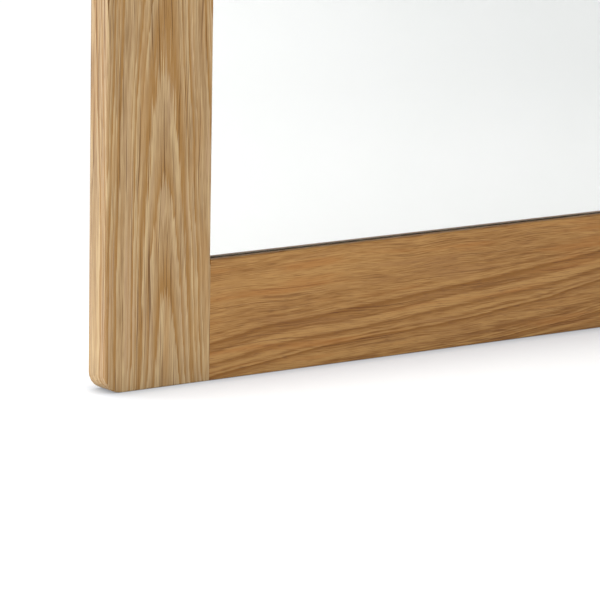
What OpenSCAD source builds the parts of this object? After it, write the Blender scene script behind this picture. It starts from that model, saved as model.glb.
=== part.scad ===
// Wall mirror in a solid oak frame, in millimetres, with +Z up and the front facing -Y.
// The origin is on the wall, behind the middle of the mirror. The wall is the plane y = 0.
// The mirror hangs upright on the two upper hangers, or on its side on the two side hangers.

/* [Frame] */
// Overall width
frame_w = 800; // [700:10:1000]
// Overall height
frame_h = 1200; // [1000:10:1600]
// Width of each stile and rail
member_w = 80; // [74:1:100]
// Thickness of the stiles and rails
frame_t = 21; // [20:0.5:28]
// Radius of the four outer corners
corner_r = 12; // [4:1:30]

/* [Glass and backing] */
// How far the glass lies behind the front of the frame
lip = 4.5; // [3:0.1:5]
// Thickness of the float glass
glass_t = 4; // [3:0.5:5]
// Thickness of the silver and its paint
coating_t = 0.2; // [0.1:0.05:0.3]
// Thickness of the foam strips behind the glass
foam_t = 2.3; // [1.5:0.1:3]
// Width of the foam strips
foam_w = 6; // [4:0.5:7]
// Thickness of the backing board
board_t = 3; // [2.5:0.5:4]
// How far the glass rebate reaches under the frame
glass_rebate = 8; // [7.5:0.5:10]
// Width of the ledge that the backing board lies on
board_ledge = 10; // [9:0.5:12]
// Gap round the glass and round the backing board
fit_gap = 1; // [0.5:0.1:1]
// Corner radius of the backing board
board_corner_r = 6; // [2:1:10]

/* [Corner dowels] */
// Diameter of a dowel
dowel_d = 8; // [6:1:8]
// Length of a dowel
dowel_l = 40; // [30:5:50]
// Distance of the outer dowel from the outer edge
dowel_edge = 22; // [18:1:24]
// Distance between the two dowels of a corner
dowel_pitch = 26; // [20:1:28]

/* [Hangers] */
// Distance of the upright hangers below the top edge
upright_drop = 200; // [120:10:300]
// Distance of the side hangers from the left edge
sideways_drop = 145; // [130:5:250]
// Width of a hanger plate
strap_w = 12; // [10:0.5:12]
// Distance from the hinge to the far end of a hanger plate
strap_l = 34; // [32:1:45]
// Thickness of a hanger plate
strap_t = 1; // [0.8:0.1:1]
// Diameter of the ring's wire
wire_d = 2.5; // [2.2:0.1:2.5]
// Radius of the ring's bow, to the middle of the wire
bow_r = 8.25; // [8.25:0.25:9]
// Length of the ring's straight legs
leg_l = 3; // [2.5:0.5:5]

/* [Wall bumpers] */
// Height of a rubber bumper, which keeps the hangers clear of the wall
bumper_h = 5.5; // [5.5:0.5:8]
// Diameter of a bumper where it is stuck to the frame
bumper_d = 12; // [10:1:20]
// Distance of a bumper's centre from each outer edge
bumper_edge = 35; // [24:1:40]

/* [Hidden] */
$fn = 64;

LEFT = -1;
RIGHT = 1;
BOTTOM = -1;
TOP = 1;

OAK_STILE = [0.69, 0.56, 0.40];
OAK_RAIL = [0.61, 0.44, 0.26];
BEECH = [0.83, 0.70, 0.52];
GLASS = [0.90, 0.96, 0.94, 0.6];
SILVER = [0.86, 0.87, 0.88];
FOAM = [0.20, 0.20, 0.21];
BOARD = [0.45, 0.31, 0.20];
STEEL = [0.72, 0.72, 0.70];
RUBBER = [0.12, 0.12, 0.12];

// The back of the frame stands off the wall by the height of the bumpers.
back_y = -bumper_h;
front_y = back_y - frame_t;
cut = 1;

// Sight size: the mirror that shows inside the frame.
sight_w = frame_w - 2 * member_w;
sight_h = frame_h - 2 * member_w;
glass_w = sight_w + 2 * (glass_rebate - fit_gap);
glass_h = sight_h + 2 * (glass_rebate - fit_gap);
board_rebate = glass_rebate + board_ledge;
board_w = sight_w + 2 * (board_rebate - fit_gap);
board_h = sight_h + 2 * (board_rebate - fit_gap);
foam_depth = lip + glass_t + coating_t;
board_depth = foam_depth + foam_t;

dowel_gap = 0.05;
dowel_chamfer = 1;

// Screws: head radius, head height, shank radius, length, and the radius of the hole through the part.
BOARD_SCREW = [2.75, 1.6, 1.4, 10];
HANGER_SCREW = [3.2, 2, 1.7, 15];
screw_hole_gap = 0.35;
pilot_gap = 0.05;
screw_tip_l = 3;
screw_tip_r = 0.2;
recess_w = 0.7;
recess_l = 3;
recess_depth = 1.1;
board_screw_end = 80;
board_screws_side = 5;
board_screws_end = 4;

// The hanger's curl is rolled round the ring's bar, flush with the underside of its plate.
bar_gap = 0.1;
curl_bore_r = wire_d / 2 + bar_gap;
curl_r = curl_bore_r + strap_t;
curl_slit = 0.5;
bend_r = 2.2;
ring_lean = 3.5;
hanger_screw_z = [-7, -27];

// Each hanger: x and z of its hinge, and the turn that points its ring up in use.
UPPER_LEFT = [-(frame_w - member_w) / 2, frame_h / 2 - upright_drop, 0];
UPPER_RIGHT = [(frame_w - member_w) / 2, frame_h / 2 - upright_drop, 0];
SIDE_TOP = [sideways_drop - frame_w / 2, (frame_h - member_w) / 2, -90];
SIDE_BOTTOM = [sideways_drop - frame_w / 2, -(frame_h - member_w) / 2, -90];
HANGERS = [UPPER_LEFT, UPPER_RIGHT, SIDE_TOP, SIDE_BOTTOM];

bumper_top_ratio = 0.8;

// Evenly spaced places from -half to +half.
function spread(half, count) = [for (i = [0:count - 1]) -half + 2 * half * i / (count - 1)];

// Where the backing board's screws stand, as [x, z], along one side or one end.
function side_screws(side) =
    [for (z = spread(sight_h / 2 - board_screw_end, board_screws_side))
        [side * (sight_w / 2 + glass_rebate + board_ledge / 2), z]];
function end_screws(end) =
    [for (x = spread(sight_w / 2 - board_screw_end, board_screws_end))
        [x, end * (sight_h / 2 + glass_rebate + board_ledge / 2)]];

// An outline in x and z, made solid from a depth behind the frame's front.
module slab(depth, thickness) {
    translate([0, front_y + depth + thickness, 0])
        rotate([90, 0, 0])
            linear_extrude(thickness)
                children();
}

module rounded_rect(w, h, r) {
    square([w - 2 * r, h], center = true);
    square([w, h - 2 * r], center = true);
    for (x = [-1, 1], z = [-1, 1])
        translate([x * (w / 2 - r), z * (h / 2 - r)])
            circle(r);
}

// A cylinder along +Y from a point on the plane y.
module along_y(x, y, z, h, r1, r2) {
    translate([x, y, z])
        rotate([-90, 0, 0])
            cylinder(h = h, r1 = r1, r2 = r2);
}

// What is cut out of the frame behind the mirror: the glass's rebate and the board's wider one.
module rebates() {
    slab(lip, board_depth - lip)
        square([glass_w + 2 * fit_gap, glass_h + 2 * fit_gap], center = true);
    slab(board_depth, frame_t - board_depth + cut)
        rounded_rect(board_w + 2 * fit_gap, board_h + 2 * fit_gap, board_corner_r + fit_gap);
}

// Two rods across one corner joint, for the dowels and for their holes.
module dowel_rods(side, end, r, l, chamfer) {
    for (edge = [dowel_edge, dowel_edge + dowel_pitch])
        translate([side * sight_w / 2, (front_y + back_y) / 2, end * (frame_h / 2 - edge)])
            rotate([0, 90, 0]) {
                cylinder(h = l - 2 * chamfer, r = r, center = true);
                for (turn = [0, 180])
                    rotate([turn, 0, 0])
                        translate([0, 0, l / 2 - chamfer])
                            cylinder(h = chamfer, r1 = r, r2 = r - chamfer / 2);
            }
}

module dowel_holes() {
    for (side = [LEFT, RIGHT], end = [BOTTOM, TOP], edge = [dowel_edge, dowel_edge + dowel_pitch])
        translate([side * sight_w / 2, (front_y + back_y) / 2, end * (frame_h / 2 - edge)])
            rotate([0, 90, 0])
                cylinder(h = dowel_l + 2 * cut, r = dowel_d / 2, center = true);
}

// Holes in the wood for the screws of the backing board and of the hangers.
module pilot_holes() {
    board_pilot = BOARD_SCREW[3] - board_t + pilot_gap;
    for (p = concat(side_screws(LEFT), side_screws(RIGHT), end_screws(BOTTOM), end_screws(TOP)))
        along_y(p[0], front_y + board_depth - board_pilot, p[1],
            board_pilot + cut, BOARD_SCREW[2] + pilot_gap, BOARD_SCREW[2] + pilot_gap);
    hanger_pilot = HANGER_SCREW[3] - strap_t + pilot_gap;
    for (h = HANGERS)
        at_hanger(h)
            for (z = hanger_screw_z)
                along_y(0, -curl_r - hanger_pilot, z,
                    hanger_pilot + cut, HANGER_SCREW[2] + pilot_gap, HANGER_SCREW[2] + pilot_gap);
}

module stile(side) {
    difference() {
        slab(0, frame_t)
            intersection() {
                rounded_rect(frame_w, frame_h, corner_r);
                translate([side * (frame_w - member_w) / 2, 0])
                    square([member_w, frame_h], center = true);
            }
        rebates();
        dowel_holes();
        pilot_holes();
    }
}

module rail(end) {
    difference() {
        slab(0, frame_t)
            translate([0, end * (frame_h - member_w) / 2])
                square([sight_w, member_w], center = true);
        rebates();
        dowel_holes();
        pilot_holes();
    }
}

module foam_strip(x, z, w, h) {
    color(FOAM)
        slab(foam_depth, foam_t)
            translate([x, z])
                square([w, h], center = true);
}

module foam_upright(side) {
    foam_strip(side * (glass_w - foam_w) / 2, 0, foam_w, glass_h);
}

module foam_level(end) {
    foam_strip(0, end * (glass_h - foam_w) / 2, glass_w - 2 * foam_w - fit_gap, foam_w);
}

// A pan head wood screw along Y, with the underside of its head at y = 0 and its tip towards -Y.
module pan_screw(size) {
    head_r = size[0];
    head_h = size[1];
    dome_r = (head_r * head_r + head_h * head_h) / (2 * head_h);
    rotate([-90, 0, 0]) {
        difference() {
            intersection() {
                translate([0, 0, head_h - dome_r])
                    sphere(dome_r);
                cylinder(h = head_h + cut, r = head_r);
            }
            for (turn = [0, 90])
                rotate([0, 0, turn])
                    translate([0, 0, head_h])
                        cube([recess_l, recess_w, 2 * recess_depth], center = true);
        }
        translate([0, 0, screw_tip_l - size[3]])
            cylinder(h = size[3] - screw_tip_l, r = size[2]);
        translate([0, 0, -size[3]])
            cylinder(h = screw_tip_l, r1 = screw_tip_r, r2 = size[2]);
    }
}

module board_screws(places) {
    color(STEEL)
        for (p = places)
            translate([p[0], front_y + board_depth + board_t, p[1]])
                pan_screw(BOARD_SCREW);
}

// Moves a hanger from its own frame to its place on the back of the frame. In its own frame the
// hinge lies on X through the origin, the plate runs down -Z and the wood is at y = -curl_r.
module at_hanger(place) {
    translate([place[0], back_y + curl_r, place[1]])
        rotate([0, place[2], 0])
            children();
}

// A steel strip, rolled at its top end into the curl that holds the ring's bar.
module hanger_plate(place) {
    color(STEEL)
        at_hanger(place)
            difference() {
                union() {
                    rotate([0, 90, 0])
                        cylinder(h = strap_w, r = curl_r, center = true);
                    translate([-strap_w / 2, -curl_r, strap_w / 2 - strap_l])
                        cube([strap_w, strap_t, strap_l - strap_w / 2]);
                    along_y(0, -curl_r, strap_w / 2 - strap_l, strap_t, strap_w / 2, strap_w / 2);
                }
                rotate([0, 90, 0])
                    cylinder(h = strap_w + 2 * cut, r = curl_bore_r, center = true);
                translate([-strap_w, strap_t - curl_r, -2 * curl_r])
                    cube([2 * strap_w, curl_slit, 2 * curl_r]);
                for (z = hanger_screw_z)
                    along_y(0, -curl_r - cut, z, strap_t + 2 * cut,
                        HANGER_SCREW[2] + screw_hole_gap, HANGER_SCREW[2] + screw_hole_gap);
            }
}

module hanger_screws(place) {
    color(STEEL)
        at_hanger(place)
            for (z = hanger_screw_z)
                translate([0, strap_t - curl_r, z])
                    pan_screw(HANGER_SCREW);
}

// Half of the ring: half its bar, one bend, one leg and half its bow, in the plane y = 0.
module ring_half() {
    rotate([0, 90, 0])
        cylinder(h = bow_r - bend_r, r = wire_d / 2);
    rotate([90, 0, 0]) {
        translate([bow_r - bend_r, bend_r, 0])
            rotate([0, 0, -90])
                rotate_extrude(angle = 90)
                    translate([bend_r, 0])
                        circle(wire_d / 2);
        translate([0, bend_r + leg_l, 0])
            rotate_extrude(angle = 90)
                translate([bow_r, 0])
                    circle(wire_d / 2);
    }
    translate([bow_r, 0, bend_r])
        cylinder(h = leg_l, r = wire_d / 2);
}

// The D-ring points up and leans back until it almost touches the wood.
module d_ring(place) {
    color(STEEL)
        at_hanger(place)
            rotate([ring_lean, 0, 0]) {
                ring_half();
                mirror([1, 0, 0])
                    ring_half();
            }
}

module bumper(side, end) {
    color(RUBBER)
        along_y(side * (frame_w / 2 - bumper_edge), back_y, end * (frame_h / 2 - bumper_edge),
            bumper_h, bumper_d / 2, bumper_top_ratio * bumper_d / 2);
}

module corner_dowels(side, end) {
    color(BEECH)
        dowel_rods(side, end, dowel_d / 2 - dowel_gap, dowel_l, dowel_chamfer);
}

module left_stile() { color(OAK_STILE) stile(LEFT); }
module right_stile() { color(OAK_STILE) stile(RIGHT); }
module top_rail() { color(OAK_RAIL) rail(TOP); }
module bottom_rail() { color(OAK_RAIL) rail(BOTTOM); }
module dowels_top_left() { corner_dowels(LEFT, TOP); }
module dowels_top_right() { corner_dowels(RIGHT, TOP); }
module dowels_bottom_left() { corner_dowels(LEFT, BOTTOM); }
module dowels_bottom_right() { corner_dowels(RIGHT, BOTTOM); }

module mirror_glass() {
    color(GLASS)
        slab(lip, glass_t)
            square([glass_w, glass_h], center = true);
}

module mirror_silvering() {
    color(SILVER)
        slab(lip + glass_t, coating_t)
            square([glass_w, glass_h], center = true);
}

module foam_strip_left() { foam_upright(LEFT); }
module foam_strip_right() { foam_upright(RIGHT); }
module foam_strip_top() { foam_level(TOP); }
module foam_strip_bottom() { foam_level(BOTTOM); }

module backing_board() {
    hole_r = BOARD_SCREW[2] + screw_hole_gap;
    color(BOARD)
        difference() {
            slab(board_depth, board_t)
                rounded_rect(board_w, board_h, board_corner_r);
            for (p = concat(side_screws(LEFT), side_screws(RIGHT), end_screws(BOTTOM), end_screws(TOP)))
                along_y(p[0], front_y + board_depth - cut, p[1], board_t + 2 * cut, hole_r, hole_r);
        }
}

module board_screws_left() { board_screws(side_screws(LEFT)); }
module board_screws_right() { board_screws(side_screws(RIGHT)); }
module board_screws_top() { board_screws(end_screws(TOP)); }
module board_screws_bottom() { board_screws(end_screws(BOTTOM)); }
module hanger_plate_upper_left() { hanger_plate(UPPER_LEFT); }
module hanger_plate_upper_right() { hanger_plate(UPPER_RIGHT); }
module hanger_plate_side_top() { hanger_plate(SIDE_TOP); }
module hanger_plate_side_bottom() { hanger_plate(SIDE_BOTTOM); }
module d_ring_upper_left() { d_ring(UPPER_LEFT); }
module d_ring_upper_right() { d_ring(UPPER_RIGHT); }
module d_ring_side_top() { d_ring(SIDE_TOP); }
module d_ring_side_bottom() { d_ring(SIDE_BOTTOM); }
module hanger_screws_upper_left() { hanger_screws(UPPER_LEFT); }
module hanger_screws_upper_right() { hanger_screws(UPPER_RIGHT); }
module hanger_screws_side_top() { hanger_screws(SIDE_TOP); }
module hanger_screws_side_bottom() { hanger_screws(SIDE_BOTTOM); }
module bumper_top_left() { bumper(LEFT, TOP); }
module bumper_top_right() { bumper(RIGHT, TOP); }
module bumper_bottom_left() { bumper(LEFT, BOTTOM); }
module bumper_bottom_right() { bumper(RIGHT, BOTTOM); }

left_stile();
right_stile();
top_rail();
bottom_rail();
dowels_top_left();
dowels_top_right();
dowels_bottom_left();
dowels_bottom_right();
mirror_glass();
mirror_silvering();
foam_strip_left();
foam_strip_right();
foam_strip_top();
foam_strip_bottom();
backing_board();
board_screws_left();
board_screws_right();
board_screws_top();
board_screws_bottom();
hanger_plate_upper_left();
hanger_plate_upper_right();
hanger_plate_side_top();
hanger_plate_side_bottom();
d_ring_upper_left();
d_ring_upper_right();
d_ring_side_top();
d_ring_side_bottom();
hanger_screws_upper_left();
hanger_screws_upper_right();
hanger_screws_side_top();
hanger_screws_side_bottom();
bumper_top_left();
bumper_top_right();
bumper_bottom_left();
bumper_bottom_right();
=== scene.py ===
"""Looks for the oak framed wall mirror: eased oak boards, silvered glass and the fittings behind it."""

import copy
import math

import bmesh
import bpy
from mathutils import Matrix, Vector


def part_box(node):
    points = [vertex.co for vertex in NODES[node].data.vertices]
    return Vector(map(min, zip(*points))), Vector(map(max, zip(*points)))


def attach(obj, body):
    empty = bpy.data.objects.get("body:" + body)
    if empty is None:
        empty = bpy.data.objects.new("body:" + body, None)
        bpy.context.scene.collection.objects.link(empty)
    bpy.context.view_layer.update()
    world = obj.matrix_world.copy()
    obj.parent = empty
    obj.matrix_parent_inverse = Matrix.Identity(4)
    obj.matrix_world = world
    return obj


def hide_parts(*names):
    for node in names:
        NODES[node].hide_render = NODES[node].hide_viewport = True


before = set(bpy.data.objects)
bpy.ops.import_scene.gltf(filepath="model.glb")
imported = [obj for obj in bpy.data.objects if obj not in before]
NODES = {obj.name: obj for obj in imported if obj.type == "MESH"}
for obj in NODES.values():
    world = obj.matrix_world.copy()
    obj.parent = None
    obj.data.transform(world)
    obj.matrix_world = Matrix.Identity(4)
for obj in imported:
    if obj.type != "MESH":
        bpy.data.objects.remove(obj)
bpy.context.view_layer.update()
BODY = "mirror"
MM = 0.001


# ---------------------------------------------------------------- places taken from the frame

class Box:
    """The box that a CAD node fills at rest."""

    def __init__(self, node):
        low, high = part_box(node)
        self.low = Vector(low)
        self.high = Vector(high)
        self.middle = (self.low + self.high) / 2
        self.size = self.high - self.low


LEFT_STILE = Box("left_stile")
BOTTOM_RAIL = Box("bottom_rail")
GLASS = Box("mirror_glass")
SILVERING = Box("mirror_silvering")
BACKING = Box("backing_board")

FRONT = LEFT_STILE.low.y
BACK = LEFT_STILE.high.y
HALF_W = -LEFT_STILE.low.x
HALF_H = LEFT_STILE.high.z
SIGHT_W = BOTTOM_RAIL.high.x
SIGHT_H = -BOTTOM_RAIL.high.z

# Sizes that a node's box can't tell.
CORNER_R = 12 * MM
GLASS_CORNER_R = 1 * MM
BACKING_CORNER_R = 6 * MM
FIT_GAP = 1 * MM

# Easing of the edges, and how far the stile's eased edge runs on past the rail before it fades out.
OUTER_ARRIS = 1.3 * MM
SIGHT_ARRIS = 1.1 * MM
SEAM_ARRIS = 0.12 * MM
ARRIS_RUN_ON = 4 * MM
ARRIS_FADE = 1.5 * MM
ARRIS_STEPS = 6
CORNER_STEPS = 20


# ---------------------------------------------------------------- camera

# The camera stands in front of the mirror, to its left and at half its height, and looks down at its lower
# left corner.
CAMERA_FROM_CORNER = Vector((-1.4026, -2.1651, 0.5840))
CAMERA_YAW = math.radians(35.67)
CAMERA_PITCH = math.radians(-11.41)
CAMERA_ROLL = math.radians(0.98)
CAMERA_LENS = 248.4
CAMERA_SENSOR = 36
CAMERA_SEES = 100


def make_camera():
    data = bpy.data.cameras.new("camera")
    data.sensor_width = CAMERA_SENSOR
    data.lens = CAMERA_LENS
    data.clip_end = CAMERA_SEES
    camera = bpy.data.objects.new("camera", data)
    bpy.context.scene.collection.objects.link(camera)
    turn = (Matrix.Rotation(-CAMERA_YAW, 4, "Z") @ Matrix.Rotation(math.pi / 2 + CAMERA_PITCH, 4, "X")
            @ Matrix.Rotation(CAMERA_ROLL, 4, "Z"))
    corner = Vector((-HALF_W, FRONT, -HALF_H))
    camera.matrix_world = Matrix.Translation(corner + CAMERA_FROM_CORNER) @ turn
    bpy.context.scene.camera = camera


# ---------------------------------------------------------------- shader nodes

def srgb(red, green, blue):
    """A colour given as it looks on a screen, from 0 to 255, in the linear values that shaders take."""
    values = [c / 255 for c in (red, green, blue)]
    return tuple(c / 12.92 if c <= 0.04045 else ((c + 0.055) / 1.055) ** 2.4 for c in values) + (1,)


class Graph:
    """Adds nodes to a node tree and wires them. An input may be given a value or another node's output."""

    def __init__(self, tree):
        self.tree = tree

    def put(self, kind, inputs, **settings):
        made = self.tree.nodes.new("ShaderNode" + kind)
        for name, value in settings.items():
            setattr(made, name, value)
        for key, value in inputs.items():
            if isinstance(value, bpy.types.NodeSocket):
                self.tree.links.new(value, made.inputs[key])
            else:
                made.inputs[key].default_value = value
        return made

    def math(self, operation, *values, clamp=False):
        node = self.put("Math", dict(enumerate(values)), operation=operation, use_clamp=clamp)
        return node.outputs[0]

    def total(self, *values):
        """The sum of several values."""
        result = values[0]
        for value in values[1:]:
            result = self.math("ADD", result, value)
        return result

    def swing(self, value, amount):
        """A 0 to 1 value, made to swing amount either side of 0."""
        return self.math("MULTIPLY_ADD", value, 2 * amount, -amount)

    def step(self, value, low, high):
        """0 below low, 1 above high, and smooth between."""
        node = self.put("MapRange", {"Value": value, "From Min": low, "From Max": high},
                        interpolation_type="SMOOTHSTEP")
        return node.outputs[0]

    def mix(self, factor, a, b, blend="MIX"):
        node = self.put("Mix", {0: factor, 6: a, 7: b}, data_type="RGBA", blend_type=blend)
        return node.outputs[2]

    def ramp(self, value, stops):
        """A colour ramp through stops, each a place and a colour or a grey."""
        node = self.put("ValToRGB", {0: value})
        ramp = node.color_ramp
        while len(ramp.elements) < len(stops):
            ramp.elements.new(1)
        for element, (place, colour) in zip(ramp.elements, stops):
            element.position = place
            element.color = colour if isinstance(colour, tuple) else (colour, colour, colour, 1)
        return node.outputs[0]

    def stretched(self, vector, x, y, z):
        """Coordinates divided by a length on each axis, so that a noise has features of that length."""
        node = self.put("VectorMath", {0: vector, 1: (1 / x, 1 / y, 1 / z)}, operation="MULTIPLY")
        return node.outputs[0]

    def noise(self, vector, detail=2.0, roughness=0.5, distortion=0.0):
        node = self.put("TexNoise", {"Vector": vector, "Scale": 1.0, "Detail": detail,
                                     "Roughness": roughness, "Distortion": distortion})
        return node.outputs[0]

    def noise_along(self, value, detail=1.0):
        node = self.put("TexNoise", {"W": value, "Scale": 1.0, "Detail": detail}, noise_dimensions="1D")
        return node.outputs[0]

    def millimetres(self):
        """The object's own coordinates, in millimetres."""
        place = self.put("TexCoord", {}).outputs["Object"]
        return self.put("VectorMath", {0: place, 1: (1000, 1000, 1000)}, operation="MULTIPLY").outputs[0]

    def bump(self, height, depth_mm, strength=1.0):
        node = self.put("Bump", {"Height": height, "Distance": depth_mm * MM, "Strength": strength})
        return node.outputs[0]


def material(name, build):
    """A material whose Principled shader gets the sockets or values that build(graph) returns."""
    made = bpy.data.materials.new(name)
    made.use_nodes = True
    graph = Graph(made.node_tree)
    shader = made.node_tree.nodes["Principled BSDF"]
    for key, value in build(graph).items():
        if isinstance(value, bpy.types.NodeSocket):
            made.node_tree.links.new(value, shader.inputs[key])
        else:
            shader.inputs[key].default_value = value
    return made


# ---------------------------------------------------------------- oak

# What the studio's light and the oil's sheen do to a colour, and the darkest that wood may be.
STUDIO_LIGHT = 1.07
SHEEN = 0.02
DARKEST = 0.004


def seen(red, green, blue):
    """A colour for wood that looks like this, from 0 to 255, in the studio's light and with its sheen."""
    return tuple(max(DARKEST, (c - SHEEN) / STUDIO_LIGHT) for c in srgb(red, green, blue)[:3]) + (1,)


LIGHT_OAK = {
    "dark": seen(148, 117, 78),
    "middle": seen(178, 148, 108),
    "light": seen(202, 174, 130),
    "spring": seen(160, 120, 68),
    "warm": seen(176, 135, 84),
    "pink": seen(184, 152, 117),
    "pore": seen(104, 72, 40),
}
WARM_OAK = {
    "dark": seen(139, 94, 46),
    "middle": seen(163, 119, 67),
    "light": seen(182, 138, 82),
    "spring": seen(141, 95, 44),
    "warm": seen(171, 114, 58),
    "pink": seen(161, 117, 70),
    "pore": seen(100, 62, 26),
}

# Wood that the oil doesn't reach, and how much of it shows there.
BARE = (0.76, 0.64, 0.47, 1)
BARE_SHARE = 0.8
HALF_GREY = (0.5, 0.5, 0.5, 1)
WHITE = (1, 1, 1, 1)


class Board:
    """How one board was sawn from its tree, in millimetres.

    along is the grain's axis. heart is how far the tree's middle lies from the board's own, across it and
    behind its face. lean tilts the heart across the board, and taper opens the rings along it, which draws
    the arches of a flat-sawn face. ring is the width of a year's growth and early the share of it that grew
    in spring. contrast is how dark that is, wander how far the rings stray, ragged how far the fibres break
    them and bend how far the fibres stray. run is how long the small marks are. fuzz, specks, lines and
    streaks are how strong the fine, short, thin and broad ones are, and bands those that follow the rings.
    The rings are faint before the year quiet. phase moves them by part of a year, and shift tells boards
    from the same tree apart."""

    def __init__(self, node, along, colours, heart, ring, early, lean=0.0, taper=0.0, wander=5.0,
                 ragged=0.8, bend=1.8, run=1.0, fuzz=0.90, specks=0.35, lines=0.9, streaks=0.32,
                 bands=0.30, contrast=1.1, quiet=1.0, phase=0.0, shift=0.0):
        self.node = node
        self.box = Box(node)
        self.along = along
        self.colours = colours
        self.heart = heart
        self.ring = ring
        self.early = early
        self.lean = lean
        self.taper = taper
        self.wander = wander
        self.ragged = ragged
        self.bend = bend
        self.run = run
        self.fuzz = fuzz
        self.specks = specks
        self.lines = lines
        self.streaks = streaks
        self.bands = bands
        self.contrast = contrast
        self.quiet = quiet
        self.phase = phase
        self.shift = shift
        self.finish = "oiled"

    def unfinished(self):
        """The same board where the oil doesn't reach: paler."""
        bare = copy.copy(self)
        bare.finish = "bare"
        bare.colours = {name: tuple((1 - BARE_SHARE) * c + BARE_SHARE * b for c, b in zip(colour, BARE))
                        for name, colour in self.colours.items()}
        return bare


def grain_places(g, board):
    """Across the board, into it and along it, each from its middle or its face, and the three together."""
    x, y, z = g.put("SeparateXYZ", {0: g.millimetres()}).outputs
    across, length = (x, z) if board.along == "Z" else (z, x)
    middle = board.box.middle / MM
    across = g.math("SUBTRACT", across, middle.x if board.along == "Z" else middle.z)
    depth = g.math("SUBTRACT", y, FRONT / MM)
    place = g.put("CombineXYZ", {0: across, 1: depth, 2: g.math("ADD", length, board.shift)}).outputs[0]
    return across, depth, length, place


def growth(g, board):
    """How far each point is into its year of growth, from 0 to 1, how strong that year shows, and a tone
    that changes from year to year and within each."""
    across, depth, length, place = grain_places(g, board)
    slow = g.noise(g.stretched(place, 70, 50, 230), detail=1.5)
    ripple = g.noise(g.stretched(place, 11, 11, 75), detail=2)
    sideways = g.total(across, -board.heart[0], g.math("MULTIPLY", length, -board.lean),
                       g.swing(slow, board.wander * 2), g.swing(ripple, board.ring * 0.35))
    behind = g.math("SUBTRACT", depth, board.heart[1])
    squares = g.math("ADD", g.math("MULTIPLY", sideways, sideways), g.math("MULTIPLY", behind, behind))
    distance = g.math("ADD", g.math("SQRT", squares), g.math("MULTIPLY", length, board.taper))
    uneven = g.swing(g.noise_along(g.math("DIVIDE", distance, board.ring * 2.4)), board.ring * 1.2)
    ragged = g.swing(g.noise(g.stretched(place, 0.9, 0.9, 36), detail=2), board.ragged)
    distance = g.total(distance, uneven, ragged)
    years = g.math("ADD", g.math("DIVIDE", distance, board.ring), board.phase)
    year = g.put("TexWhiteNoise", {"W": g.math("FLOOR", years)}, noise_dimensions="1D").outputs[0]
    bands = g.noise_along(g.math("MULTIPLY", years, 2.7), detail=2)
    strength = g.math("MULTIPLY_ADD", g.step(year, 0.05, 0.9), 1.05, 0.2)
    shows = g.math("MULTIPLY_ADD", g.step(years, board.quiet - 0.5, board.quiet), 0.85, 0.15)
    bands = g.mix(g.step(years, board.quiet - 1, board.quiet), HALF_GREY, bands)
    return g.math("FRACT", years), g.math("MULTIPLY", strength, shows), bands


def spring_wood(g, board, grown, year):
    """How much each point belongs to the open, darker wood that a year starts with."""
    spring = g.ramp(grown, [(0.0, 0.0), (0.06, 1.0), (board.early * 0.5, 0.6), (board.early, 0.25),
                            (board.early + 0.25, 0.0), (1.0, 0.0)])
    return g.math("MULTIPLY", spring, year)


def bent_fibres(g, board):
    """The board's coordinates, with its fibres straying a little to each side."""
    place = grain_places(g, board)[-1]
    bend = g.swing(g.noise(g.stretched(place, 26, 26, 56), detail=0), board.bend)
    aside = g.put("CombineXYZ", {0: bend}).outputs[0]
    return g.put("VectorMath", {0: place, 1: aside}).outputs[0]


def pores(g, board, place, spring):
    """The long thin lines and the short specks that open pores draw, both stronger in spring wood."""
    dash = g.noise(g.stretched(place, 0.6, 0.6, 12 * board.run), detail=1.5, roughness=0.6)
    thread = g.noise(g.stretched(place, 0.85, 0.85, 90 * board.run), detail=0)
    breaks = g.noise(g.stretched(place, 5, 5, 80 * board.run), detail=1)
    lines = g.math("MULTIPLY", g.step(thread, 0.61, 0.67), g.step(breaks, 0.36, 0.60))
    lines = g.math("MULTIPLY", lines, g.math("MULTIPLY_ADD", spring, 0.3, 0.7))
    specks = g.math("MULTIPLY", g.step(dash, 0.54, 0.68), g.math("MULTIPLY_ADD", spring, 0.4, 0.4))
    return lines, specks


def oak(board):
    """Solid oak, worked out in three dimensions so that its faces, edges and end grain belong together."""

    def build(g):
        colours = board.colours
        grown, year, bands = growth(g, board)
        spring = spring_wood(g, board, grown, year)
        pale = g.step(grown, 0.6, 0.95)
        place = bent_fibres(g, board)
        lines, specks = pores(g, board, place, spring)
        fibre = g.noise(g.stretched(place, 0.6, 0.6, 20 * board.run), detail=1.5, roughness=0.6)
        streak = g.noise(g.stretched(place, 2.9, 2.9, 70), detail=1.5)
        cloud = g.noise(g.stretched(place, 13, 13, 150), detail=2)
        hue = g.noise(g.stretched(place, 9, 9, 110), detail=2)

        tone = g.total(0.54, g.swing(cloud, 0.68), g.swing(streak, board.streaks),
                       g.swing(bands, board.bands), g.swing(fibre, board.fuzz),
                       g.math("MULTIPLY", pale, 0.16))
        body = g.ramp(tone, [(0.0, colours["dark"]), (0.5, colours["middle"]), (1.0, colours["light"])])
        body = g.mix(g.math("MULTIPLY", g.step(hue, 0.52, 0.70), 0.55), body, colours["warm"])
        body = g.mix(g.math("MULTIPLY", g.step(hue, 0.48, 0.30), 0.6), body, colours["pink"])
        body = g.mix(g.math("MULTIPLY", spring, board.contrast, clamp=True), body, colours["spring"])
        body = g.mix(g.math("MULTIPLY", specks, board.specks), body, colours["pore"])
        body = g.mix(g.math("MULTIPLY", lines, board.lines, clamp=True), body, colours["pore"])

        hollow = g.math("ADD", g.math("MULTIPLY", lines, -1.0), g.math("MULTIPLY", fibre, 0.35))
        rough = g.total(0.50, g.math("MULTIPLY", lines, 0.22), g.swing(cloud, 0.10), g.swing(fibre, 0.10))
        return {"Base Color": body, "Roughness": rough, "Normal": g.bump(hollow, 0.06, 0.8),
                "Specular IOR Level": 0.4}

    return material("oak_" + board.node + "_" + board.finish, build)


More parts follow.
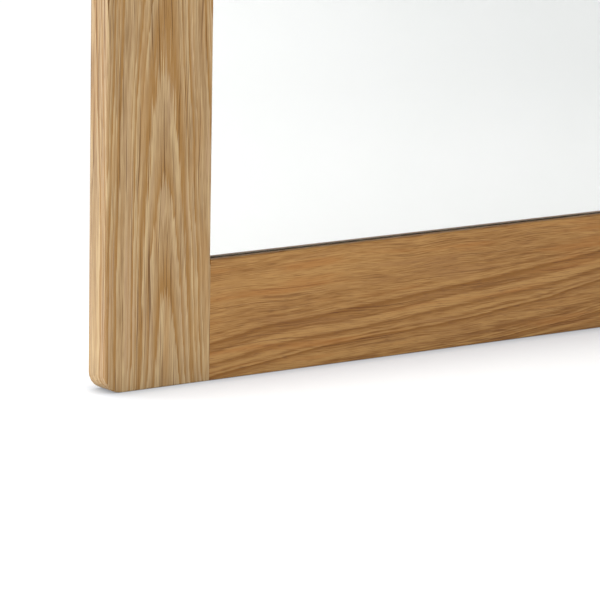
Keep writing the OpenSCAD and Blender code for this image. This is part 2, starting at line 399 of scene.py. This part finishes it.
# ---------------------------------------------------------------- other materials

def clear_glass():
    """Float glass, with the faint green of its iron and a breath of dust that hardly dulls it."""

    def build(g):
        place = g.millimetres()
        smear = g.noise(g.stretched(place, 60, 60, 90), detail=3)
        dust = g.step(g.noise(g.stretched(place, 0.8, 0.8, 0.8), detail=1), 0.74, 0.80)
        smeared = g.math("MULTIPLY", g.step(smear, 0.55, 0.8), 0.004)
        rough = g.math("ADD", smeared, g.math("MULTIPLY", dust, 0.01))
        tint = g.mix(g.step(smear, 0.3, 0.8), (0.978, 0.985, 0.98, 1), (0.984, 0.989, 0.985, 1))
        return {"Base Color": tint, "Roughness": rough, "Transmission Weight": 1.0, "IOR": 1.5}

    return material("float_glass", build)


def silver():
    """The silver behind the glass, a mirror with a hardly visible cloud in it."""

    def build(g):
        place = g.millimetres()
        cloud = g.noise(g.stretched(place, 140, 140, 140), detail=2)
        tint = g.mix(cloud, (0.862, 0.864, 0.862, 1), (0.868, 0.870, 0.868, 1))
        return {"Base Color": tint, "Metallic": 1.0, "Roughness": 0.0}

    return material("silver", build)


def backing_paint():
    """The grey paint that seals the silver."""

    def build(g):
        place = g.millimetres()
        cloud = g.noise(g.stretched(place, 40, 40, 40), detail=4)
        peel = g.noise(g.stretched(place, 0.9, 0.9, 0.9), detail=2)
        tint = g.mix(cloud, srgb(96, 104, 110), srgb(112, 119, 123))
        return {"Base Color": tint, "Roughness": g.math("MULTIPLY_ADD", peel, 0.2, 0.35),
                "Normal": g.bump(peel, 0.03)}

    return material("backing_paint", build)


def hardboard():
    """Brown pressed fibre, smooth on its face, with lighter and darker strands."""

    def build(g):
        place = g.millimetres()
        strands = g.noise(g.stretched(place, 0.6, 0.6, 2.2), detail=4, roughness=0.7, distortion=0.6)
        crossed = g.noise(g.stretched(place, 2.4, 0.6, 0.6), detail=4, roughness=0.7, distortion=0.6)
        cloud = g.noise(g.stretched(place, 70, 70, 70), detail=3)
        flecks = g.step(g.noise(g.stretched(place, 1.1, 1.1, 3.6), detail=2), 0.66, 0.74)
        fibres = g.math("MULTIPLY", g.math("ADD", strands, crossed), 0.5)
        tint = g.ramp(g.total(fibres, g.swing(cloud, 0.09)),
                      [(0.30, srgb(92, 62, 38)), (0.5, srgb(124, 87, 55)), (0.70, srgb(152, 113, 76))])
        tint = g.mix(g.math("MULTIPLY", flecks, 0.5), tint, srgb(66, 42, 25))
        return {"Base Color": tint, "Roughness": g.math("MULTIPLY_ADD", fibres, 0.3, 0.42),
                "Normal": g.bump(fibres, 0.12, 0.7), "Specular IOR Level": 0.35}

    return material("hardboard", build)


def foam():
    """Dark foam with closed cells half a millimetre wide."""

    def build(g):
        place = g.stretched(g.millimetres(), 0.5, 0.5, 0.5)
        cells = g.put("TexVoronoi", {"Vector": place, "Scale": 1.0}).outputs["Distance"]
        tint = g.mix(cells, srgb(34, 34, 36), srgb(62, 62, 64))
        return {"Base Color": tint, "Roughness": 0.95, "Normal": g.bump(cells, 0.2)}

    return material("closed_cell_foam", build)


def beech():
    """Beech dowel, with its grain along it and fine flutes round it."""

    def build(g):
        place = g.millimetres()
        grain = g.noise(g.stretched(place, 22, 0.5, 0.5), detail=3)
        flutes = g.math("SINE", g.math("MULTIPLY", g.put("SeparateXYZ", {0: place}).outputs[2], 4.0))
        tint = g.ramp(grain, [(0.25, srgb(183, 145, 105)), (0.75, srgb(222, 190, 148))])
        return {"Base Color": tint, "Roughness": 0.6, "Normal": g.bump(g.math("ADD", grain, flutes), 0.1)}

    return material("beech", build)


def zinc(name, brushed_axis):
    """Zinc plate, with faint rolling lines, cloudy colour and small handling marks."""

    def build(g):
        place = g.millimetres()
        lengths = {"X": (9, 0.12, 0.12), "Z": (0.12, 0.12, 9), "none": (1.1, 1.1, 1.1)}[brushed_axis]
        lines = g.noise(g.stretched(place, *lengths), detail=3, roughness=0.7)
        cloud = g.noise(g.stretched(place, 3.5, 3.5, 3.5), detail=3)
        marks = g.step(g.noise(g.stretched(place, 0.5, 0.5, 1.4), detail=2), 0.62, 0.72)
        tint = g.ramp(cloud, [(0.3, srgb(172, 174, 178)), (0.5, srgb(194, 195, 196)),
                              (0.72, srgb(206, 203, 192))])
        tint = g.mix(g.math("MULTIPLY", marks, 0.35), tint, srgb(120, 122, 124))
        rough = g.total(0.24, g.swing(lines, 0.12), g.math("MULTIPLY", marks, 0.2), g.swing(cloud, 0.08))
        return {"Base Color": tint, "Metallic": 1.0, "Roughness": rough,
                "Normal": g.bump(g.math("ADD", lines, marks), 0.02, 0.6)}

    return material(name, build)


def rubber():
    """Black rubber with a fine grain and a little dust."""

    def build(g):
        place = g.millimetres()
        grain = g.noise(g.stretched(place, 0.25, 0.25, 0.25), detail=3)
        dust = g.step(g.noise(g.stretched(place, 3, 3, 3), detail=4), 0.5, 0.75)
        tint = g.mix(g.math("MULTIPLY", dust, 0.5), srgb(28, 28, 29), srgb(58, 57, 55))
        return {"Base Color": tint, "Roughness": g.math("MULTIPLY_ADD", dust, 0.2, 0.62),
                "Normal": g.bump(grain, 0.05)}

    return material("bumper_rubber", build)


# ---------------------------------------------------------------- mesh helpers

SMOOTH_BELOW = math.radians(35)
EASED_ABOVE = math.radians(40)
SAME_POINT = 0.001 * MM


def piece_from(mesh_data, name, materials):
    """An object from a bmesh, with doubled corners merged and its faces turned outwards."""
    bmesh.ops.remove_doubles(mesh_data, verts=mesh_data.verts, dist=SAME_POINT)
    bmesh.ops.recalc_face_normals(mesh_data, faces=mesh_data.faces)
    mesh = bpy.data.meshes.new(name)
    mesh_data.to_mesh(mesh)
    mesh_data.free()
    piece = bpy.data.objects.new(name, mesh)
    bpy.context.scene.collection.objects.link(piece)
    for each in materials:
        mesh.materials.append(each)
    return piece


def finish_shading(piece):
    """Smooth shading over the easings, with flat faces kept flat."""
    mesh = piece.data
    mesh.polygons.foreach_set("use_smooth", [True] * len(mesh.polygons))
    mesh.set_sharp_from_angle(angle=SMOOTH_BELOW)
    weighted = piece.modifiers.new("weighted_normals", "WEIGHTED_NORMAL")
    weighted.keep_sharp = True
    weighted.weight = 100


def eased_board(name, edge, front, back, materials, steps=ARRIS_STEPS):
    """A flat board with eased edges. edge goes round it once: x, z, the way out, and how far the edge is
    eased in front and behind."""
    data = bmesh.new()
    rings = []
    for side, face, way in ((0, front, 1), (1, back, -1)):
        turns = [math.pi / 2 * k / steps for k in range(steps + 1)]
        for turn in (turns if side == 0 else reversed(turns)):
            ring = []
            for x, z, out, eased in edge:
                radius = eased[side]
                inset = radius * (1 - math.sin(turn))
                depth = radius * (1 - math.cos(turn))
                ring.append(data.verts.new((x - out[0] * inset, face + way * depth, z - out[1] * inset)))
            rings.append(ring)
    for ring, following in zip(rings, rings[1:]):
        for k in range(len(ring)):
            after = (k + 1) % len(ring)
            data.faces.new((ring[k], ring[after], following[after], following[k]))
    data.faces.new(rings[0])
    data.faces.new(list(reversed(rings[-1])))
    bmesh.ops.remove_doubles(data, verts=data.verts, dist=SAME_POINT / 10)
    bmesh.ops.dissolve_degenerate(data, edges=data.edges, dist=SAME_POINT / 10)
    return piece_from(data, name, materials)


def corner(x, z, radius, start, eased, steps=CORNER_STEPS):
    """A quarter turn of edge round the centre x, z, from the angle start in degrees, anticlockwise."""
    points = []
    for k in range(steps + 1):
        turn = math.radians(start + 90 * k / steps)
        out = (math.cos(turn), math.sin(turn))
        points.append((x + radius * out[0], z + radius * out[1], out, eased))
    return points


def cut_away(piece, cutters):
    """Takes the cutters out of a piece for good."""
    for cutter in cutters:
        hole = piece.modifiers.new("cut", "BOOLEAN")
        hole.operation = "DIFFERENCE"
        hole.solver = "EXACT"
        hole.material_mode = "TRANSFER"
        hole.object = cutter
    bpy.context.view_layer.update()
    whole = piece.evaluated_get(bpy.context.evaluated_depsgraph_get())
    solid = bpy.data.meshes.new_from_object(whole)
    piece.modifiers.clear()
    old = piece.data
    piece.data = solid
    solid.name = piece.name
    bpy.data.meshes.remove(old)
    for cutter in cutters:
        bpy.data.objects.remove(cutter)


def rounded_plate(name, half_w, half_h, radius, front, back, materials, eased=0.0):
    """A plate centred on the mirror, with round corners and all its edges eased alike."""
    edge = []
    for turn, (sx, sz) in zip((0, 90, 180, 270), ((1, 1), (-1, 1), (-1, -1), (1, -1))):
        edge += corner(sx * (half_w - radius), sz * (half_h - radius), radius, turn, (eased, eased), steps=8)
    return eased_board(name, edge, front, back, materials, steps=2)


def lathe(name, profile, place, materials, segments=40):
    """A turned piece: profile is radius and height, outwards along +Y from place."""
    data = bmesh.new()
    rings = []
    for radius, height in profile:
        ring = []
        for k in range(segments):
            turn = 2 * math.pi * k / segments
            ring.append(data.verts.new((place.x + radius * math.cos(turn), place.y + height,
                                        place.z + radius * math.sin(turn))))
        rings.append(ring)
    for ring, following in zip(rings, rings[1:]):
        for k in range(segments):
            after = (k + 1) % segments
            data.faces.new((ring[k], ring[after], following[after], following[k]))
    data.faces.new(rings[0])
    data.faces.new(rings[-1])
    return piece_from(data, name, materials)


def stands_for(piece, node):
    """Makes a piece part of the mirror's body, in a CAD node's place, and hides that node."""
    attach(piece, BODY)
    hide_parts(node)


# ---------------------------------------------------------------- the frame's boards

EASED_OUTER = (OUTER_ARRIS, OUTER_ARRIS)
EASED_SIGHT = (SIGHT_ARRIS, 0)
EASED_SEAM = (SEAM_ARRIS, SEAM_ARRIS)

# Clearances inside the boards, and the radius of each kind of screw's pilot hole.
LIP_GAP = 0.08 * MM
REBATE_CORNER_R = 0.2 * MM
PILOT_R = {"board_screws_": 1.45 * MM, "hanger_screws_": 1.75 * MM}
HOLE_PLAY = 0.05 * MM


def stile_edge(side):
    """Round a stile. Its inner edge is eased where the mirror shows, and sharp where it meets the rails."""
    inner = -SIGHT_W
    run_on = SIGHT_H + ARRIS_RUN_ON
    square_end = SEAM_ARRIS / OUTER_ARRIS
    points = corner(CORNER_R - HALF_W, CORNER_R - HALF_H, CORNER_R, 180, EASED_OUTER)
    points.append((inner, -HALF_H, (square_end, -1), EASED_OUTER))
    points.append((inner, -HALF_H + 2 * OUTER_ARRIS, (1, 0), EASED_SEAM))
    points.append((inner, -run_on, (1, 0), EASED_SEAM))
    points.append((inner, -run_on + ARRIS_FADE, (1, 0), EASED_SIGHT))
    points.append((inner, run_on - ARRIS_FADE, (1, 0), EASED_SIGHT))
    points.append((inner, run_on, (1, 0), EASED_SEAM))
    points.append((inner, HALF_H - 2 * OUTER_ARRIS, (1, 0), EASED_SEAM))
    points.append((inner, HALF_H, (square_end, 1), EASED_OUTER))
    points += corner(CORNER_R - HALF_W, HALF_H - CORNER_R, CORNER_R, 90, EASED_OUTER)
    return [(-side * x, z, (-side * out[0], out[1]), eased) for x, z, out, eased in points]


def rail_edge(end):
    """Round a rail: eased along the outside and along the mirror, sharp at its two ends."""
    outer_end = SEAM_ARRIS / OUTER_ARRIS
    sight_end = SEAM_ARRIS / SIGHT_ARRIS
    points = []
    for side in (-1, 1):
        half = [(side * SIGHT_W, SIGHT_H, (side * sight_end, -1), EASED_SIGHT),
                (side * SIGHT_W, SIGHT_H + 2 * SIGHT_ARRIS, (side, 0), EASED_SEAM),
                (side * SIGHT_W, HALF_H - 2 * OUTER_ARRIS, (side, 0), EASED_SEAM),
                (side * SIGHT_W, HALF_H, (side * outer_end, 1), EASED_OUTER)]
        points += half if side < 0 else reversed(half)
    return [(x, end * z, (out[0], end * out[1]), eased) for x, z, out, eased in points]


def rebate_cutters(bare):
    """The glass's rebate and the board's wider one, as solids that leave bare wood where they cut."""
    glass = rounded_plate("cutter", GLASS.high.x + FIT_GAP, GLASS.high.z + FIT_GAP, REBATE_CORNER_R,
                          GLASS.low.y - LIP_GAP, BACKING.low.y + MM / 2, [bare])
    board = rounded_plate("cutter", BACKING.high.x + FIT_GAP, BACKING.high.z + FIT_GAP,
                          BACKING_CORNER_R + FIT_GAP, BACKING.low.y, BACK + MM, [bare])
    return [glass, board]


def rod_cutter(radius, middle, along, length, segments=24):
    """A round hole of a length, centred on middle."""
    data = bmesh.new()
    turn = {"X": Matrix.Rotation(math.pi / 2, 4, "Y"), "Y": Matrix.Rotation(math.pi / 2, 4, "X")}[along]
    bmesh.ops.create_cone(data, cap_ends=True, segments=segments, radius1=radius, radius2=radius,
                          depth=length, matrix=Matrix.Translation(middle) @ turn)
    return piece_from(data, "cutter", [])


def dowel_hole(low, high):
    """A dowel's hole, a millimetre longer than the dowel at each end."""
    radius = (high.z - low.z) / 2 + HOLE_PLAY
    return rod_cutter(radius, (low + high) / 2, "X", high.x - low.x + 2 * MM)


def pilot_hole(radius, low, high):
    """A screw's hole, open at the back of the board."""
    back = high.y + MM
    front = low.y - HOLE_PLAY
    middle = Vector(((low.x + high.x) / 2, (back + front) / 2, (low.z + high.z) / 2))
    return rod_cutter(radius, middle, "Y", back - front)


def hole_cutters(box):
    """Holes for the dowels and the screws that stand in the board that fills this box."""
    cutters = []
    for node in NODES:
        if not node.startswith(("dowels_", *PILOT_R)):
            continue
        for low, high in solids_of(node):
            if not reaches_into(box, low, high):
                continue
            if node.startswith("dowels_"):
                cutters.append(dowel_hole(low, high))
            else:
                radius = next(PILOT_R[start] for start in PILOT_R if node.startswith(start))
                cutters.append(pilot_hole(radius, low, high))
    return cutters


def solids_of(node):
    """The box of each separate solid in a CAD node, such as the two dowels of a corner."""
    mesh = NODES[node].data
    world = NODES[node].matrix_world
    parent = list(range(len(mesh.vertices)))

    def root(k):
        while parent[k] != k:
            parent[k] = parent[parent[k]]
            k = parent[k]
        return k

    places = {}
    for vertex in mesh.vertices:
        key = tuple(round(c / SAME_POINT) for c in vertex.co)
        parent[vertex.index] = root(places.setdefault(key, vertex.index))
    for edge in mesh.edges:
        a, b = root(edge.vertices[0]), root(edge.vertices[1])
        parent[a] = b
    boxes = {}
    for vertex in mesh.vertices:
        place = world @ vertex.co
        low, high = boxes.setdefault(root(vertex.index), (place.copy(), place.copy()))
        for k in range(3):
            low[k] = min(low[k], place[k])
            high[k] = max(high[k], place[k])
    return list(boxes.values())


def reaches_into(box, low, high):
    """Whether something between low and high reaches into a box."""
    return all(low[k] < box.high[k] and high[k] > box.low[k] for k in (0, 1, 2))


def wooden_board(board, edge):
    """One board of the frame, with its rebates and holes cut into it."""
    name = board.node.replace("stile", "upright").replace("rail", "crosspiece")
    piece = eased_board(name, edge, FRONT, BACK, [oak(board)])
    cut_away(piece, rebate_cutters(oak(board.unfinished())))
    cut_away(piece, hole_cutters(board.box))
    finish_shading(piece)
    stands_for(piece, board.node)


# The rails are sawn from wood with wider rings than the stiles, with short dark specks and few long lines.
RAIL_WOOD = {"ring": 6.0, "early": 0.3, "ragged": 0.5, "bend": 2.5, "run": 0.9, "fuzz": 1.4, "specks": 0.7,
             "lines": 0.6, "streaks": 0.3}


def make_frame():
    left = Board("left_stile", "Z", LIGHT_OAK, heart=(4, 30), ring=2.4, early=0.5, taper=0.03, phase=0.45,
                 shift=40)
    right = Board("right_stile", "Z", LIGHT_OAK, heart=(-12, 36), ring=2.6, early=0.5, taper=-0.025,
                  shift=900)
    bottom = Board("bottom_rail", "X", WARM_OAK, heart=(41, 80), lean=0.084, phase=0.97, bands=1.3,
                   quiet=15, shift=300, **RAIL_WOOD)
    top = Board("top_rail", "X", WARM_OAK, heart=(10, 70), lean=-0.05, phase=0.3, bands=1.1, contrast=1.15,
                quiet=13, shift=1700, **RAIL_WOOD)
    wooden_board(left, stile_edge(-1))
    wooden_board(right, stile_edge(1))
    wooden_board(bottom, rail_edge(-1))
    wooden_board(top, rail_edge(1))


# ---------------------------------------------------------------- the mirror and what holds it

# The easing of the glass's edge, and how far the film stays inside it and behind it.
GLASS_SEAMED = 0.4 * MM
FILM_INSET = GLASS_SEAMED + 0.1 * MM
FILM_GAP = 0.03 * MM


def make_mirror():
    """The glass, and the silver and its paint as one thin film behind it."""
    glass = rounded_plate("silvered_plate", GLASS.high.x, GLASS.high.z, GLASS_CORNER_R, GLASS.low.y,
                          GLASS.high.y, [clear_glass()], eased=GLASS_SEAMED)
    finish_shading(glass)
    stands_for(glass, "mirror_glass")
    film = rounded_plate("silver_film", SILVERING.high.x - FILM_INSET, SILVERING.high.z - FILM_INSET,
                         GLASS_CORNER_R, SILVERING.low.y + FILM_GAP, SILVERING.high.y,
                         [backing_paint(), silver()])
    front = min(film.data.polygons, key=lambda face: face.center.y)
    front.material_index = 1
    stands_for(film, "mirror_silvering")


def rounded(node, radius, steps=2):
    """Eases the edges of a carried-over node."""
    bevel = NODES[node].modifiers.new("eased", "BEVEL")
    bevel.width = radius
    bevel.segments = steps
    bevel.limit_method = "ANGLE"
    bevel.angle_limit = EASED_ABOVE
    bevel.use_clamp_overlap = True
    bevel.harden_normals = True


def finish_nodes(start, made, radius=0.0):
    """Gives carried-over nodes their material, and eases their edges."""
    for name, node in NODES.items():
        if name.startswith(start):
            node.data.materials.clear()
            node.data.materials.append(made)
            if radius:
                rounded(name, radius)


def finish_fittings():
    finish_nodes("backing_board", hardboard(), 0.3 * MM)
    finish_nodes("foam_strip", foam(), 0.2 * MM)
    finish_nodes("dowels", beech())
    finish_nodes("board_screws", zinc("zinc_screw", "none"), 0.12 * MM)
    finish_nodes("hanger_screws", zinc("zinc_screw_large", "none"), 0.12 * MM)
    finish_nodes("hanger_plate_upper", zinc("zinc_plate_upright", "Z"), 0.15 * MM)
    finish_nodes("hanger_plate_side", zinc("zinc_plate_level", "X"), 0.15 * MM)
    finish_nodes("d_ring", zinc("zinc_wire", "none"))


# A rubber foot's thin flange, its round rim, and the shallow dish in its top.
FOOT_FLANGE = 0.3 * MM
FOOT_RIM = 0.7 * MM
FOOT_RIM_STEPS = 6
FOOT_TOP_SHARE = 0.8
DISH_SHARE = 0.5
DISH_SLOPE_SHARE = 0.05
DISH_DEPTH = 0.25 * MM
FOOT_MIDDLE_R = 0.001 * MM


def bumper_profile(foot_r, height):
    """Half a rubber foot, from its middle on the wood to its dished middle at the wall, with a round rim."""
    top_r = foot_r * FOOT_TOP_SHARE
    profile = [(FOOT_MIDDLE_R, 0), (foot_r, 0), (foot_r, FOOT_FLANGE)]
    for k in range(FOOT_RIM_STEPS + 1):
        turn = math.pi / 2 * k / FOOT_RIM_STEPS
        profile.append((top_r - FOOT_RIM + FOOT_RIM * math.cos(turn),
                        height - FOOT_RIM + FOOT_RIM * math.sin(turn)))
    profile.append((top_r * (DISH_SHARE + DISH_SLOPE_SHARE), height))
    profile.append((top_r * (DISH_SHARE - DISH_SLOPE_SHARE), height - DISH_DEPTH))
    profile.append((FOOT_MIDDLE_R, height - DISH_DEPTH))
    return profile


def make_bumpers():
    """A turned rubber foot in each corner of the back."""
    soft = rubber()
    for name in NODES:
        if not name.startswith("bumper"):
            continue
        box = Box(name)
        place = Vector((box.middle.x, box.low.y, box.middle.z))
        profile = bumper_profile(box.size.x / 2, box.size.y)
        piece = lathe(name.replace("bumper", "foot"), profile, place, [soft])
        finish_shading(piece)
        stands_for(piece, name)


# ---------------------------------------------------------------- floor and light

# The floor lies just below the mirror. It turns plain white between NEAR and FAR from its middle, and from
# WHITE_FROM to WHITE_TO behind the mirror. Painted shade darkens it from PALE to SHADED across the view.
FLOOR_R = 14
FLOOR_DROP = 0.05 * MM
FLOOR_NEAR = 1.8
FLOOR_FAR = 2.6
FLOOR_WHITE = 1.03
FLOOR_WHITE_FROM = 0.03
FLOOR_WHITE_TO = 0.35
FLOOR_PALE = -0.32
FLOOR_SHADED = 0.30
FLOOR_PALE_TINT = (0.93, 0.93, 0.93, 1)
FLOOR_SHADED_TINT = (0.735, 0.74, 0.74, 1)
FLOOR_MOTTLE = 0.03
RIGHTWARDS = (0.86, 0.51)

# The floor glows a little, as painted light, and more so near the mirror.
FLOOR_GLOW = 0.42
FLOOR_GLOW_NEAR = 0.14
GLOW_FROM = -1.1
GLOW_TO = -0.15

# Painted shade right under the edge, and a softer painted shadow round the frame's foot.
CONTACT = 0.014
CONTACT_SHADE = 0.45
SHADOW_REACH = 0.11
SHADOW_DEPTH = 0.32
SHADOW_ASIDE = 2.5
SHADOW_COLOUR = (0.96, 1.07, 1.22, 1)


def frame_shadow(g, x, y):
    """How much painted shadow the floor gets round the frame's foot, from 0 to 1, standing for the soft
    light the frame would keep from it.
    """
    beside = g.math("SUBTRACT", g.math("ABSOLUTE", x), HALF_W - CORNER_R / 2)
    before = g.math("MAXIMUM", g.math("MULTIPLY", y, -1.0), g.math("ADD", y, FRONT - BACK))
    aside = g.math("MAXIMUM", g.math("MULTIPLY", beside, SHADOW_ASIDE), 0.0)
    from_foot = g.put("CombineXYZ", {0: aside, 1: g.math("MAXIMUM", before, 0.0)}).outputs[0]
    distance = g.put("VectorMath", {0: from_foot}, operation="LENGTH").outputs["Value"]
    inwards = g.math("MULTIPLY_ADD", distance, -1 / SHADOW_REACH, 1.0, clamp=True)
    return g.math("MULTIPLY", g.math("POWER", inwards, 2.0), SHADOW_DEPTH)


def floor_tint(g, place, x, y):
    """The floor's colour: painted shade darker to the right, with the frame's painted contact shade and soft
    shadow in it.
    """
    # Painted shade: the floor's tint darkens towards the right, standing in for light falling off.
    rightwards = g.math("ADD", g.math("MULTIPLY", x, RIGHTWARDS[0]), g.math("MULTIPLY", y, RIGHTWARDS[1]))
    mottle = g.swing(g.noise(g.stretched(place, 0.8, 0.8, 0.8), detail=2), FLOOR_MOTTLE)
    shade = g.step(g.math("ADD", rightwards, mottle), FLOOR_PALE, FLOOR_SHADED)
    tint = g.mix(shade, FLOOR_PALE_TINT, FLOOR_SHADED_TINT)
    # Painted shade where the floor meets the frame, from ambient occlusion, then the frame's painted soft
    # shadow and its cool tint.
    open_to_light = g.put("AmbientOcclusion", {"Distance": CONTACT}, samples=16).outputs["AO"]
    painted_contact_shade = g.math("MULTIPLY", g.math("SUBTRACT", 1.0, open_to_light), CONTACT_SHADE)
    beyond_shadow = g.math("SUBTRACT", 1.0, frame_shadow(g, x, y))
    lit = g.math("MULTIPLY", beyond_shadow, g.math("SUBTRACT", 1.0, painted_contact_shade))
    painted_shadow_tint = g.mix(g.math("SUBTRACT", 1.0, lit), WHITE, SHADOW_COLOUR)
    return g.mix(1.0, g.mix(1.0, tint, lit, "MULTIPLY"), painted_shadow_tint, "MULTIPLY")


def floor_material():
    """A pale floor that fades to plain white behind the mirror and far away."""
    made = bpy.data.materials.new("floor")
    made.use_nodes = True
    g = Graph(made.node_tree)
    link = made.node_tree.links.new
    shader = made.node_tree.nodes["Principled BSDF"]
    place = g.put("TexCoord", {}).outputs["Object"]
    x, y = g.put("SeparateXYZ", {0: place}).outputs[:2]
    tint = floor_tint(g, place, x, y)
    link(tint, shader.inputs["Base Color"])
    link(tint, shader.inputs["Emission Color"])
    # Painted light: the floor glows in its own tint, more so near the mirror.
    near = g.step(y, GLOW_FROM, GLOW_TO)
    link(g.math("MULTIPLY_ADD", near, FLOOR_GLOW_NEAR, FLOOR_GLOW), shader.inputs["Emission Strength"])
    shader.inputs["Roughness"].default_value = 0.9
    shader.inputs["Specular IOR Level"].default_value = 0.1
    distance = g.put("VectorMath", {0: place}, operation="LENGTH").outputs["Value"]
    plain = g.put("Emission", {"Color": WHITE, "Strength": FLOOR_WHITE})
    behind = g.step(y, FLOOR_WHITE_FROM, FLOOR_WHITE_TO)
    away = g.math("MAXIMUM", g.step(distance, FLOOR_NEAR, FLOOR_FAR), behind)
    both = g.put("MixShader", {0: away, 1: shader.outputs[0], 2: plain.outputs[0]})
    link(both.outputs[0], made.node_tree.nodes["Material Output"].inputs["Surface"])
    return made


def make_floor():
    data = bmesh.new()
    bmesh.ops.create_circle(data, cap_ends=True, segments=128, radius=FLOOR_R)
    floor = piece_from(data, "floor", [floor_material()])
    floor.location = (0, FRONT, -HALF_H - FLOOR_DROP)


# How bright the room is, how that changes to the right, to the back and upwards, and how the camera sees it.
WORLD_LEVEL = 1.42
WORLD_RIGHTWARDS = 0.10
WORLD_BACKWARDS = 0.40
WORLD_UPWARDS = -0.80
WORLD_SEEN = (1.05, 1.05, 1.05, 1)


def make_world():
    """Plain white where the camera sees it. All else gets a softly lit room, brighter behind and below."""
    world = bpy.data.worlds.new("studio")
    bpy.context.scene.world = world
    world.use_nodes = True
    g = Graph(world.node_tree)
    x, y, z = g.put("SeparateXYZ", {0: g.put("TexCoord", {}).outputs["Generated"]}).outputs
    level = g.total(WORLD_LEVEL, g.math("MULTIPLY", x, WORLD_RIGHTWARDS),
                    g.math("MULTIPLY", y, WORLD_BACKWARDS), g.math("MULTIPLY", z, WORLD_UPWARDS))
    to_camera = g.put("LightPath", {}).outputs["Is Camera Ray"]
    background = world.node_tree.nodes["Background"]
    world.node_tree.links.new(g.mix(to_camera, level, WORLD_SEEN), background.inputs["Color"])


def soft_light(name, place, aim, size, power):
    """A large square light that the camera doesn't see."""
    data = bpy.data.lights.new(name, "AREA")
    data.shape = "SQUARE"
    data.size = size
    data.energy = power
    light = bpy.data.objects.new(name, data)
    light.location = place
    light.rotation_euler = (aim - place).to_track_quat("-Z", "Y").to_euler()
    light.visible_camera = False
    bpy.context.scene.collection.objects.link(light)


KEY_LIGHT = {"place": Vector((-2.6, -1.7, 0.7)), "aim": Vector((-0.2, 0, -0.3)), "size": 2.0, "power": 22}
EDGE_LIGHT = {"place": Vector((-2.1, 2.4, -0.2)), "aim": Vector((-0.4, 0, -0.2)), "size": 1.5, "power": 46}


def make_lights():
    """One light in front, to the left, and one behind that brightens the outer edge."""
    soft_light("key", **KEY_LIGHT)
    soft_light("edge", **EDGE_LIGHT)


def set_view():
    view = bpy.context.scene.view_settings
    view.view_transform = "Standard"
    view.look = "None"


make_camera()
set_view()
make_world()
make_lights()
make_floor()
make_frame()
make_mirror()
make_bumpers()
finish_fittings()
bpy.context.view_layer.update()
